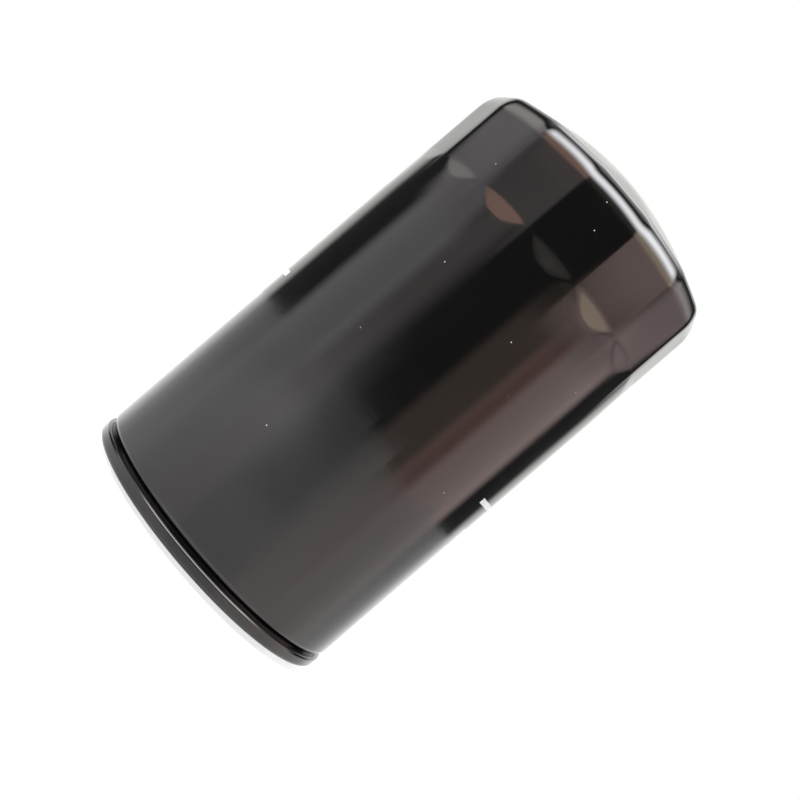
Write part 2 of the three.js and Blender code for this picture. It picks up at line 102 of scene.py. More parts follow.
_, SUPPORT_LOW, SUPPORT_TOP = span("support_spring")

# Can
CAN_SHEET = 0.6
DOME_RISE = 12.4
DOME_POWER = 1.47
DOME_TIP_RADIUS = 7
SHOULDER_RADIUS = 5.2
SHOULDER_START_RADIUS = 13
SHOULDER_START = math.radians(25)
FLAT_COUNT = 15
FLAT_DEPTH = 1
FLAT_CORNER_RADIUS = 8
FLAT_SOFTNESS = math.radians(2)
FLAT_END_DEPTH = 43.2
SCALLOP_HEIGHT = 4.5
SCALLOP_BOW = 1
SCALLOP_SHARE = 0.68
SCALLOP_FADE = 16
CREASE_SOFTNESS = 0.12
SLOPE_SOFTNESS = 0.8
FLAT_DRAFT = math.radians(0.6)
FLAT_SHARE_AT_DOME = 0.72
FLAT_END_ON_DOME = 0.7
FIT = 0.25
COVER_SHEET = 0.7
RIM_RADIUS = SEAM_RADIUS - 0.15
RIM_TOP = SEAM_TOP - 0.75
HOOK_INNER = RIM_RADIUS - COVER_SHEET - FIT - CAN_SHEET
HOOK_TOP = RIM_TOP - 1.8
HOOK_EDGE = 0.22
NECK_IN_DEPTH = 0.45
NECK_IN_RADIUS = HOOK_INNER - NECK_IN_DEPTH
NECK_IN_HEIGHT = 2.1

# Base
CHUCK_INNER = NECK_IN_RADIUS - CAN_SHEET - FIT - COVER_SHEET
PANEL_LEVEL = 3
TOUCH = 0.1
GROOVE_ROOF = GASKET_TOP + TOUCH
GROOVE_INNER = 30.75
GROOVE_OUTER = 35.75
FLANGE_INNER = 27.75
GASKET_INNER = 31
WELD_COUNT = 12
WELD_RADIUS = 1
WELD_DENT = 0.14
WELD_CIRCLE = (FLANGE_INNER + GROOVE_INNER) / 2 - 0.3
THREAD_MINOR = 12.42
THREAD_MAJOR = 13.5
THREAD_PITCH = 2
THREAD_CHAMFER = 1.2
NECK_OUTER = 16.02
PLATE_DISH = 29.8
PLATE_THICKNESS = 3.5
BOSS_HEIGHT = 0.4
BOSS_RADIUS = 15.62
INLET_COUNT = 8
INLET_CIRCLE = 23.36
INLET_RADIUS = 3.39

# Element
VALVE_INNER = 18.47
WAVE_COUNT = 3
WAVE_SHEET = 0.4
SEAL_INNER = 16.27
SEAL_WEB = 17.17
CAP_HOLE = 17.42
CAP_SHEET = 0.6
CAP_BEAD_RADIUS = 30
UPPER_CAP_HOLE = 11
TUBE_INNER = 18.47
TUBE_HOLE_ROWS = 6
TUBE_HOLES_AROUND = 6
TUBE_HOLE_RADIUS = 2.3
MEDIA_INNER = 19.62
PLEAT_COUNT = 50
PAPER = 0.55

# Bypass valve
BYPASS_BORE = 8.5
STEM_RADIUS = 2.5
CAGE_CUP = 14.82
CAGE_SHEET = 0.6
CAGE_WINDOWS = 4
CAGE_WINDOW_HEIGHT = 0.55
CAGE_WINDOW_WIDTH = 0.8
BYPASS_WIRE = 1.2
BYPASS_TURNS = 5
SUPPORT_WIRE = 2.4
SUPPORT_BASE = 19
SUPPORT_TIP = 13
SUPPORT_TURNS = 3.5

# Facets
CAN_SEGMENTS = FLAT_COUNT * 28
SEGMENTS = 160
SMALL_SEGMENTS = 72
COIL_STEPS = 48
ARC_STEP = math.radians(15)
SHARP_ANGLE = math.radians(40)

# ------------------------------------------------------------------ profiles


def fillet(corners, closed=True):
    """Rounds the corners of a profile that carry a radius."""
    points = []
    count = len(corners)
    for i, corner in enumerate(corners):
        here = Vector(corner[:2])
        radius = corner[2] if len(corner) > 2 else 0
        if not radius or (not closed and i in (0, count - 1)):
            points.append(here)
            continue
        back = (Vector(corners[i - 1][:2]) - here).normalized()
        ahead = (Vector(corners[(i + 1) % count][:2]) - here).normalized()
        opening = back.angle(ahead)
        turn = math.pi - opening
        centre = here + (back + ahead).normalized() * radius / math.sin(opening / 2)
        start = here + back * radius / math.tan(opening / 2) - centre
        end = here + ahead * radius / math.tan(opening / 2) - centre
        steps = max(2, math.ceil(turn / ARC_STEP))
        for k in range(steps + 1):
            t = k / steps
            share = start * math.sin((1 - t) * turn) + end * math.sin(t * turn)
            points.append(centre + share / math.sin(turn))
    return points


def rectangle(left, right, low, high, *edges):
    """A rectangle with rounded corners. edges are the corners' radii, from the lower left
    one round to the upper left one, or one radius for all."""
    corners = [(left, low), (right, low), (right, high), (left, high)]
    radii = edges * 4 if len(edges) == 1 else edges
    return fillet([(*corner, radius) for corner, radius in zip(corners, radii)])


def divided(points, longest):
    """Splits the long stretches of an open or closed run of points."""
    result = []
    for here, after in zip(points, points[1:]):
        pieces = max(1, math.ceil((after - here).length / longest))
        result += [here.lerp(after, k / pieces) for k in range(pieces)]
    return result + [points[-1]]


def thickened(face, thickness):
    """Closes a face's profile with the same profile one sheet to its left."""
    back = []
    for i, here in enumerate(face):
        before = (here - face[i - 1]).normalized() if i else None
        after = (face[i + 1] - here).normalized() if i + 1 < len(face) else None
        along = ((before or after) + (after or before)).normalized()
        left = Vector((-along.y, along.x))
        reference = before or after
        mitre = left.dot(Vector((-reference.y, reference.x)))
        back.append(here + left * thickness / mitre)
        if abs(here.x) < 1e-6:
            back[-1].x = 0
    return face + back[::-1]


def bent(path, thickness):
    return thickened(fillet(path, closed=False), thickness)


# ------------------------------------------------------------------ meshes


def finish_mesh(name, mesh_data, smooth=True):
    bmesh.ops.remove_doubles(mesh_data, verts=mesh_data.verts, dist=1e-8)
    bmesh.ops.recalc_face_normals(mesh_data, faces=mesh_data.faces)
    mesh = bpy.data.meshes.new(name)
    mesh_data.to_mesh(mesh)
    mesh_data.free()
    piece = bpy.data.objects.new(name, mesh)
    bpy.context.scene.collection.objects.link(piece)
    if smooth:
        soften(piece)
    return piece


def soften(piece):
    """Smooth shading that keeps flat faces flat and sharp edges sharp."""
    mesh = piece.data
    mesh.polygons.foreach_set("use_smooth", [True] * len(mesh.polygons))
    mesh.set_sharp_from_angle(angle=SHARP_ANGLE)
    weighted = piece.modifiers.new("weighted normals", "WEIGHTED_NORMAL")
    weighted.keep_sharp = True


def turned(name, profile, segments=SEGMENTS, shape=None):
    """Turns a closed profile round +Z. shape(radius, level, angle) may move each point, and
    the angle runs from -Y towards +X."""
    mesh = bmesh.new()
    rings = []
    for radius, level in profile:
        if radius < 1e-6:
            rings.append([mesh.verts.new((0, 0, level * MM))] * segments)
            continue
        ring = []
        for k in range(segments):
            angle = 2 * math.pi * k / segments
            r, z = shape(radius, level, angle) if shape else (radius, level)
            ring.append(
                mesh.verts.new((r * math.sin(angle) * MM, -r * math.cos(angle) * MM, z * MM))
            )
        rings.append(ring)
    for i, ring in enumerate(rings):
        after = rings[(i + 1) % len(rings)]
        if ring[0] is ring[1] and after[0] is after[1]:
            continue
        for k in range(segments):
            n = (k + 1) % segments
            corners = [ring[k], ring[n], after[n], after[k]]
            corners = list(dict.fromkeys(corners))
            if len(corners) > 2:
                mesh.faces.new(corners)
    return finish_mesh(name, mesh)


def prism(name, outline, low, high, levels=1):
    """Extrudes a closed outline of (x, y) points between two heights."""
    mesh = bmesh.new()
    rings = []
    for i in range(levels + 1):
        z = low + (high - low) * i / levels
        rings.append([mesh.verts.new((x * MM, y * MM, z * MM)) for x, y in outline])
    count = len(outline)
    for lower, upper in zip(rings, rings[1:]):
        for k in range(count):
            n = (k + 1) % count
            mesh.faces.new([lower[k], lower[n], upper[n], upper[k]])
    mesh.faces.new(rings[0][::-1])
    mesh.faces.new(rings[-1])
    return finish_mesh(name, mesh)


def band(name, outside, inside, low, high, levels):
    """A closed strip that stands between two outlines with matching points."""
    mesh = bmesh.new()

    def rings(outline):
        heights = [low + (high - low) * i / levels for i in range(levels + 1)]
        return [[mesh.verts.new((x * MM, y * MM, z * MM)) for x, y in outline] for z in heights]

    outer, inner = rings(outside), rings(inside)
    count = len(outside)
    for k in range(count):
        n = (k + 1) % count
        for a, b in zip(outer, outer[1:]):
            mesh.faces.new([a[k], a[n], b[n], b[k]])
        for a, b in zip(inner, inner[1:]):
            mesh.faces.new([a[n], a[k], b[k], b[n]])
        mesh.faces.new([outer[-1][k], outer[-1][n], inner[-1][n], inner[-1][k]])
        mesh.faces.new([outer[0][n], outer[0][k], inner[0][k], inner[0][n]])
    return finish_mesh(name, mesh)


def coil(name, base, tip, low, high, wire, turns, sides):
    """A round wire wound upwards, with its end turns closed up and its ends rounded off."""
    closing = 0.5
    steps = round(turns * COIL_STEPS)
    mesh = bmesh.new()
    rings = []

    def centre(t):
        angle = 2 * math.pi * turns * t
        radius = base + (tip - base) * t
        rise = t - closing * math.sin(2 * math.pi * t) / (2 * math.pi)
        z = low + wire / 2 + (high - low - wire) * rise
        return Vector((radius * math.cos(angle), radius * math.sin(angle), z))

    def ring(t, thickness):
        here = centre(t)
        along = (centre(t + 1e-4) - centre(t - 1e-4)).normalized()
        out = Vector((here.x, here.y, 0)).normalized()
        out = (out - along * out.dot(along)).normalized()
        up = along.cross(out)
        corners = []
        for k in range(sides):
            a = 2 * math.pi * k / sides
            offset = (out * math.cos(a) + up * math.sin(a)) * thickness / 2
            corners.append(mesh.verts.new((here + offset) * MM))
        return corners

    rings.append(ring(0, wire * 0.8))
    for i in range(steps + 1):
        t = 0.001 + 0.998 * i / steps
        rings.append(ring(t, wire))
    rings.append(ring(1, wire * 0.8))
    for lower, upper in zip(rings, rings[1:]):
        for k in range(sides):
            n = (k + 1) % sides
            mesh.faces.new([lower[k], lower[n], upper[n], upper[k]])
    mesh.faces.new(rings[0][::-1])
    mesh.faces.new(rings[-1])
    return finish_mesh(name, mesh)


def drilled(piece, cutters):
    """Cuts the cutters out of a piece and deletes them."""
    bpy.ops.object.select_all(action="DESELECT")
    for cutter in cutters:
        cutter.select_set(True)
    bpy.context.view_layer.objects.active = cutters[0]
    if len(cutters) > 1:
        bpy.ops.object.join()
    tool = bpy.context.view_layer.objects.active
    piece.modifiers.clear()
    cut = piece.modifiers.new("cut", "BOOLEAN")
    cut.operation = "DIFFERENCE"
    cut.solver = "EXACT"
    cut.use_self = False
    cut.object = tool
    graph = bpy.context.evaluated_depsgraph_get()
    mesh = bpy.data.meshes.new_from_object(piece.evaluated_get(graph))
    piece.modifiers.clear()
    piece.data = mesh
    bpy.data.objects.remove(tool)
    soften(piece)
    return piece


def cutter(profile, segments=32):
    tool = turned("cutter", profile, segments)
    tool.modifiers.clear()
    return tool


# ------------------------------------------------------------------ can


def smooth_step(value, low, high):
    t = min(max((value - low) / (high - low), 0), 1)
    return t * t * (3 - 2 * t)


def flats_radius(angle):
    """Distance from the axis to the ring of flats, at an angle from -Y."""
    pitch = 2 * math.pi / FLAT_COUNT
    half = pitch / 2
    off = abs(angle - pitch * round(angle / pitch))
    apothem = BODY_RADIUS - FLAT_DEPTH
    flat_end = math.atan((apothem - FLAT_CORNER_RADIUS) * math.tan(half) / apothem)
    if off <= flat_end:
        return apothem / math.cos(off)
    distance = (apothem - FLAT_CORNER_RADIUS) / math.cos(half)
    beside = half - off
    reach = FLAT_CORNER_RADIUS**2 - (distance * math.sin(beside)) ** 2
    return distance * math.cos(beside) + math.sqrt(reach)


SHOULDER_ANGLE = math.atan(DOME_RISE * DOME_POWER / BODY_RADIUS)
SHOULDER_END = math.pi / 2 - SHOULDER_ANGLE
DOME_EDGE = BODY_RADIUS - SHOULDER_RADIUS * (1 - math.sin(SHOULDER_ANGLE))
START_INSET = SHOULDER_START_RADIUS * (1 - math.cos(SHOULDER_START))
START_RISE = SHOULDER_START_RADIUS * math.sin(SHOULDER_START)
CROWN_INSET = BODY_RADIUS - DOME_EDGE - START_INSET
CROWN_RADIUS = CROWN_INSET / (math.cos(SHOULDER_START) - math.cos(SHOULDER_END))
CROWN_RISE = CROWN_RADIUS * (math.sin(SHOULDER_END) - math.sin(SHOULDER_START))
FLAT_TOP = CAN_TOP - DOME_RISE - CROWN_RISE - START_RISE
SCALLOP_LOW = CAN_TOP - FLAT_END_DEPTH
SCALLOP_TOP = SCALLOP_LOW + SCALLOP_HEIGHT


def dome_level(radius):
    """The dome's power curve, with its tip rounded."""
    tip, here, edge = (
        math.hypot(r, DOME_TIP_RADIUS) ** DOME_POWER for r in (0, radius, DOME_EDGE)
    )
    return CAN_TOP - DOME_RISE * (here - tip) / (edge - tip)


@lru_cache(maxsize=None)
def pressed_depth(angle):
    """Depth of the ring of flats, with the creases at the flats' edges softened."""
    samples = [angle + FLAT_SOFTNESS * k / 2 for k in (-2, -1, 0, 1, 2)]
    return BODY_RADIUS - sum(flats_radius(sample) for sample in samples) / len(samples)


FULL_DEPTH = pressed_depth(0)


def softly_positive(value, softness):
    return 0.5 * (value + math.sqrt(value * value + softness * softness) - softness)


def flats_depth(radius, level, angle):
    """How far the can is pressed in. A sloping cut takes the middle of each flat out in a
    lens-shaped scallop, and what is left of the depth fades out more slowly below it. The
    flats lean in a little towards the dome, where they fade out."""
    depth = pressed_depth(angle)
    share = depth / FULL_DEPTH
    lean = math.tan(FLAT_DRAFT) * (min(level, FLAT_TOP) - (SCALLOP_TOP + FLAT_TOP) / 2)
    if level > FLAT_TOP:
        kept = 1 - (1 - FLAT_SHARE_AT_DOME) * smooth_step(level, FLAT_TOP, CAN_TOP - DOME_RISE)
        kept *= smooth_step(radius, DOME_EDGE * FLAT_END_ON_DOME, DOME_EDGE)
        return (depth + lean * share) * kept
    scallop_depth = FULL_DEPTH * SCALLOP_SHARE
    top = SCALLOP_TOP - SCALLOP_BOW * (1 - share)
    below = softly_positive(top - level, SLOPE_SOFTNESS)
    cut = depth - (FULL_DEPTH - scallop_depth) - scallop_depth / SCALLOP_HEIGHT * below
    rest = min(depth, FULL_DEPTH - scallop_depth)
    pressed = softly_positive(cut, CREASE_SOFTNESS)
    pressed += rest * smooth_step(level, SCALLOP_LOW - SCALLOP_FADE, top)
    return pressed + lean * share * smooth_step(level, SCALLOP_LOW, SCALLOP_TOP + 2)


def press_flats(radius, level, angle):
    return radius - flats_depth(radius, level, angle), level


def arc(here, radius, first, last, steps):
    """Points of a round stretch that leaves here, as its lean goes from first to last."""
    points = []
    for k in range(1, steps + 1):
        lean = first + (last - first) * k / steps
        inset = radius * (math.cos(first) - math.cos(lean))
        rise = radius * (math.sin(lean) - math.sin(first))
        points.append(here + Vector((-inset, rise)))
    return points


def outer_can():
    neck_in = [
        (NECK_IN_RADIUS, RIM_TOP + 0.1),
        (NECK_IN_RADIUS, RIM_TOP + 0.5, 0.5),
        (BODY_RADIUS, RIM_TOP + NECK_IN_HEIGHT, 2),
        (BODY_RADIUS, SCALLOP_LOW - SCALLOP_FADE),
    ]
    hook = [
        (HOOK_INNER, HOOK_TOP),
        (HOOK_INNER, CAN_LOW + CAN_SHEET, HOOK_EDGE),
        (NECK_IN_RADIUS, CAN_LOW + CAN_SHEET, HOOK_EDGE),
    ]
    base = fillet(hook + neck_in, closed=False)
    levels = [SCALLOP_LOW - SCALLOP_FADE, SCALLOP_LOW - 0.5, SCALLOP_TOP + 1, FLAT_TOP]
    wall = []
    for low, high, steps in zip(levels, levels[1:], (16, 40, 9)):
        heights = [low + (high - low) * k / steps for k in range(1, steps + 1)]
        wall += [Vector((BODY_RADIUS, height)) for height in heights]
    wall.pop()
    foot = Vector((BODY_RADIUS, FLAT_TOP))
    start = arc(foot, SHOULDER_START_RADIUS, 0, SHOULDER_START, 8)
    crown = arc(start[-1], CROWN_RADIUS, SHOULDER_START, SHOULDER_END, 16)
    dome_steps = 26
    radii = [DOME_EDGE * (1 - k / dome_steps) for k in range(1, dome_steps + 1)]
    dome = [Vector((radius, dome_level(radius))) for radius in radii]
    dome[-1].x = 0
    face = base + wall + [foot] + start + crown + dome
    return turned("can_visual", thickened(face, CAN_SHEET), CAN_SEGMENTS, press_flats)


# ------------------------------------------------------------------ base


def seam_cover():
    path = [
        (FLANGE_INNER, PANEL_LEVEL),
        (GROOVE_INNER, PANEL_LEVEL, 0.75),
        (GROOVE_INNER, GROOVE_ROOF, 0.1),
        (GROOVE_OUTER, GROOVE_ROOF, 0.1),
        (GROOVE_OUTER, PANEL_LEVEL, 0.75),
        (CHUCK_INNER, PANEL_LEVEL, 0.1),
        (CHUCK_INNER, SEAM_LOW, 0.72),
        (RIM_RADIUS, SEAM_LOW, 1.3),
        (RIM_RADIUS, RIM_TOP, 1),
        (NECK_IN_RADIUS + 0.12, RIM_TOP),
    ]
    face = divided(fillet(path, closed=False), 2.4)

    def weld_marks(radius, level, angle):
        pitch = 2 * math.pi / WELD_COUNT
        off = angle - pitch * round(angle / pitch)
        away = math.hypot(radius * off, radius - WELD_CIRCLE)
        dent = WELD_DENT * (1 - smooth_step(away, WELD_RADIUS * 0.55, WELD_RADIUS))
        return radius, level + dent * (level < PANEL_LEVEL + 0.01)

    flange = [p for p in face if p.x < GROOVE_INNER - 0.9]
    profile = thickened(divided(flange, 0.22) + face[len(flange) :], COVER_SHEET)
    return turned("seam_cover_visual", profile, 240, weld_marks)


def gasket():
    edges = (0.55, 0.55, 0.3, 0.3)
    outline = rectangle(GASKET_INNER, GASKET_RADIUS, GASKET_LOW, GASKET_TOP, *edges)
    return turned("gasket_visual", outline, 200)


def tapping_plate():
    depth = THREAD_MAJOR - THREAD_MINOR
    rim_low = GROOVE_ROOF + COVER_SHEET + TOUCH
    rim_top = rim_low + PLATE_THICKNESS
    plate_top = PLATE_LOW + BOSS_HEIGHT + PLATE_THICKNESS
    plate_low = PLATE_LOW + BOSS_HEIGHT
    bore_low = PLATE_LOW + THREAD_CHAMFER
    bore_top = PLATE_TOP - THREAD_CHAMFER
    steps = round((bore_top - bore_low) / THREAD_PITCH * 16)
    heights = [bore_top - (bore_top - bore_low) * k / steps for k in range(steps + 1)]
    bore = [Vector((THREAD_MINOR, height)) for height in heights]
    outline = fillet(
        [
            (THREAD_MINOR + THREAD_CHAMFER, PLATE_LOW, 0.2),
            (BOSS_RADIUS, PLATE_LOW, 0.3),
            (BOSS_RADIUS + BOSS_HEIGHT, plate_low, 0.3),
            (PLATE_DISH, plate_low, 0.6),
            (PLATE_DISH, rim_low, 0.6),
            (PLATE_RADIUS, rim_low, 0.5),
            (PLATE_RADIUS, rim_top, 0.5),
            (PLATE_DISH + PLATE_THICKNESS / 2, rim_top, 1.4),
            (PLATE_DISH, plate_top, 1),
            (NECK_OUTER, plate_top, 0.1),
            (NECK_OUTER, PLATE_TOP, 0.5),
            (THREAD_MINOR + THREAD_CHAMFER, PLATE_TOP, 0.2),
        ],
        closed=False,
    )

    def cut_thread(radius, level, angle):
        if radius > THREAD_MINOR + 0.01:
            return radius, level
        turn = (level / THREAD_PITCH - angle / (2 * math.pi)) % 1
        ridge = abs(2 * turn - 1)
        groove = min(max(1.3 * ridge - 0.12, 0), 1)
        fade = smooth_step(level, bore_low - 0.1, bore_low + 0.9)
        fade *= 1 - smooth_step(level, bore_top - 0.9, bore_top + 0.1)
        return radius + depth * groove * fade, level

    plate = turned("tapping_plate_visual", outline + bore, 144, cut_thread)
    lip = 0.35
    tools = []
    for k in range(INLET_COUNT):
        angle = 2 * math.pi * k / INLET_COUNT
        tool = cutter(
            [
                (0, plate_low - 1),
                (INLET_RADIUS + lip + 1, plate_low - 1),
                (INLET_RADIUS, plate_low + lip),
                (INLET_RADIUS, plate_top - lip / 2),
                (INLET_RADIUS + 1, plate_top + 1 - lip / 2),
                (0, plate_top + 1 - lip / 2),
            ],
            40,
        )
        place = (INLET_CIRCLE * math.cos(angle) * MM, INLET_CIRCLE * math.sin(angle) * MM, 0)
        tool.data.transform(Matrix.Translation(place))
        tools.append(tool)
    return drilled(plate, tools)


# ------------------------------------------------------------------ valve, seal and wave spring


def anti_drain_valve():
    rib = 0.25
    top = VALVE_TOP - rib
    ribs = []
    for radius in (VALVE_RADIUS - 1.2, VALVE_INNER + 5.2):
        ribs += [
            (radius, top, 0.1),
            (radius - 0.3, VALVE_TOP, 0.1),
            (radius - 0.7, VALVE_TOP, 0.1),
            (radius - 1, top, 0.1),
        ]
    outline = [
        (VALVE_INNER, VALVE_LOW, 0.25),
        (VALVE_RADIUS, VALVE_LOW, 0.25),
        (VALVE_RADIUS, top, 0.3),
        *ribs,
        (VALVE_INNER, top, 0.3),
    ]
    return turned("anti_drain_valve_visual", fillet(outline))


def anti_drain_spring():
    swing = (WAVE_TOP - WAVE_LOW - WAVE_SHEET) / 2
    outline = rectangle(VALVE_INNER, WAVE_RADIUS, WAVE_LOW, WAVE_LOW + WAVE_SHEET, 0.12)

    def wave(radius, level, angle):
        return radius, level + swing * (1 + math.cos(WAVE_COUNT * (angle - math.pi / 2)))

    return turned("anti_drain_spring_visual", outline, SEGMENTS, wave)


def neck_seal():
    lower_face = LOWER_CAP_LOW - TOUCH
    upper_face = LOWER_CAP_LOW + CAP_SHEET + TOUCH
    lip = 0.35
    return turned(
        "neck_seal_visual",
        fillet(
            [
                (SEAL_INNER, NECK_SEAL_LOW, 0.3),
                (NECK_SEAL_RADIUS, NECK_SEAL_LOW, 0.3),
                (NECK_SEAL_RADIUS, lower_face - 1.9, lip),
                (NECK_SEAL_RADIUS - 0.4, lower_face - 1.5, lip),
                (NECK_SEAL_RADIUS, lower_face - 1.1, lip),
                (NECK_SEAL_RADIUS, lower_face, 0.2),
                (SEAL_WEB, lower_face, 0.15),
                (SEAL_WEB, upper_face, 0.15),
                (NECK_SEAL_RADIUS, upper_face, 0.2),
                (NECK_SEAL_RADIUS, NECK_SEAL_TOP, 0.35),
                (SEAL_INNER, NECK_SEAL_TOP, 0.35),
            ]
        ),
        SEGMENTS,
    )


# ------------------------------------------------------------------ element


def end_cap(name, face, rim, hole):
    """A cap pressed from sheet, with a rolled rim and one stiffening bead. face is the level of
    its outside, and the rim goes to the level of rim."""
    up = 1 if rim > face else -1
    bead = CAP_BEAD_RADIUS
    path = [
        (hole, face),
        (bead - 2.4, face, 1.5),
        (bead - 1, face + up * 0.35, 1),
        (bead + 1, face + up * 0.35, 1),
        (bead + 2.4, face, 1.5),
        (CAP_RADIUS, face, 1.3),
        (CAP_RADIUS, rim),
    ]
    if up < 0:
        path = path[::-1]
    return turned(name, bent(path, CAP_SHEET))


def adhesive(name, low, high, wet):
    """A set bed of adhesive. Its wet face has crept a little up the paper at both edges."""
    creep = 0.06
    middle = (MEDIA_INNER + BED_RADIUS) / 2
    lower, upper = (low, high) if wet == "top" else (high, low)
    back = 1 if upper > lower else -1
    outline = [
        (MEDIA_INNER, lower, 0.15),
        (BED_RADIUS, lower, 0.15),
        (BED_RADIUS, upper, 0.25),
        (BED_RADIUS - 2, upper - back * creep, 2),
        (middle, upper - back * creep),
        (MEDIA_INNER + 2, upper - back * creep, 2),
        (MEDIA_INNER, upper, 0.25),
    ]
    return turned(name, fillet(outline))


def centre_tube():
    outline = rectangle(TUBE_INNER, TUBE_RADIUS, TUBE_LOW, TUBE_TOP, 0.15)
    tube = turned("centre_tube_visual", outline, 120)
    pitch = (TUBE_TOP - TUBE_LOW) / (TUBE_HOLE_ROWS + 1)
    flare = 0.25
    tools = []
    for row in range(TUBE_HOLE_ROWS):
        for k in range(TUBE_HOLES_AROUND):
            angle = 2 * math.pi * (k + (row % 2) / 2) / TUBE_HOLES_AROUND
            tool = cutter(
                [
                    (0, TUBE_INNER - 2),
                    (TUBE_HOLE_RADIUS, TUBE_INNER - 2),
                    (TUBE_HOLE_RADIUS, TUBE_RADIUS - flare),
                    (TUBE_HOLE_RADIUS + 2, TUBE_RADIUS + 2 - flare),
                    (0, TUBE_RADIUS + 2 - flare),
                ],
                24,
            )
            turn = Matrix.Rotation(angle, 4, "Z") @ Matrix.Rotation(math.pi / 2, 4, "Y")
            lift = Matrix.Translation((0, 0, (TUBE_LOW + pitch * (row + 1)) * MM))
            tool.data.transform(lift @ turn)
            tools.append(tool)
    return drilled(tube, tools)


def pleat_line(samples):
    """Points of the paper's middle line, with round folds, once round the filter."""
    amplitude = (MEDIA_RADIUS - MEDIA_INNER) / 2 - PAPER / 2
    middle = (MEDIA_RADIUS + MEDIA_INNER) / 2
    fold = 0.06
    points = []
    for k in range(PLEAT_COUNT * samples):
        phase = k / samples
        part = phase % 1
        # More samples lie in the folds, where the line turns.
        part = part - 0.9 * math.sin(4 * math.pi * part) / (4 * math.pi)
        wave = abs(2 * part - 1) * 2 - 1
        limit = 1 - fold
        over = abs(wave) - limit
        if over > 0:
            wave = math.copysign(limit + fold * math.sin(over / fold * math.pi / 2) * 0.64, wave)
        wave /= limit + fold * 0.64
        angle = 2 * math.pi * (math.floor(phase) + part) / PLEAT_COUNT
        radius = middle + amplitude * wave
        points.append(Vector((radius * math.cos(angle), radius * math.sin(angle))))
    return points


def pleated_media():
    line = pleat_line(32)
    outside, inside = [], []
    for k, here in enumerate(line):
        along = (line[(k + 1) % len(line)] - line[k - 1]).normalized()
        out = Vector((along.y, -along.x))
        outside.append(here + out * PAPER / 2)
        inside.append(here - out * PAPER / 2)
    return band("pleated_media_visual", outside, inside, MEDIA_LOW, MEDIA_TOP, 10)


def media_seam_clip():
    low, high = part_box("media_seam_clip")
    start, tip = low.x / MM, high.x / MM
    half_start = high.y / MM
    half_tip = half_start * 0.8
    sheet = 0.3
    path = [
        (start, half_start - sheet),
        (tip - sheet, half_tip - sheet, 0.4),
        (tip - sheet, sheet - half_tip, 0.4),
        (start, sheet - half_start),
    ]
    return prism("media_seam_clip_visual", bent(path, sheet), CLIP_LOW, CLIP_TOP, 24)


# ------------------------------------------------------------------ bypass valve


def bypass_seat():
    edges = (0.3, 0.15, 0.15, 0.3)
    outline = rectangle(BYPASS_BORE, SEAT_RADIUS, SEAT_LOW, SEAT_TOP, *edges)
    return turned("bypass_seat_visual", outline, 120)


def bypass_cage():
    flange = CAGE_TOP - CAGE_SHEET
    path = [
        (STEM_RADIUS + FIT, CAGE_LOW),
        (CAGE_CUP, CAGE_LOW, 1.2),
        (CAGE_CUP, flange, 0.25),
        (CAGE_RADIUS, flange),
    ]
    cup = turned("bypass_cage_visual", bent(path, CAGE_SHEET), 120)
    height = (flange - CAGE_LOW) * CAGE_WINDOW_HEIGHT
    width = CAGE_CUP * CAGE_WINDOW_WIDTH
    middle = (CAGE_LOW + CAGE_TOP) / 2
    outline = rectangle(-height / 2, height / 2, -width / 2, width / 2, 1.6)
    tools = []
    for k in range(CAGE_WINDOWS):
        tool = prism("cutter", outline, CAGE_CUP * 0.86, CAGE_CUP + 1)
        tool.modifiers.clear()
        turn = Matrix.Rotation(2 * math.pi * k / CAGE_WINDOWS, 4, "Z")
        lay = Matrix.Rotation(math.pi / 2, 4, "Y")
        tool.data.transform(Matrix.Translation((0, 0, middle * MM)) @ turn @ lay)
        tools.append(tool)
    return drilled(cup, tools)


def washer(name, inner, outer, low, high, edge):
    return turned(name, rectangle(inner, outer, low, high, edge), SMALL_SEGMENTS)


def bypass_rivet():
    head = WASHER_TOP + TOUCH
    return turned(
        "bypass_rivet_visual",
        fillet(
            [
                (0, RIVET_LOW),
                (STEM_RADIUS, RIVET_LOW, 0.6),
                (STEM_RADIUS, head, 0.05),
                (RIVET_RADIUS, head, 0.15),
                (RIVET_RADIUS, head + 0.3, 0.2),
                (RIVET_RADIUS * 0.55, RIVET_TOP, 1),
                (0, RIVET_TOP),
            ],
            closed=False,
        ),
        SMALL_SEGMENTS,
    )


# ------------------------------------------------------------------ node graphs


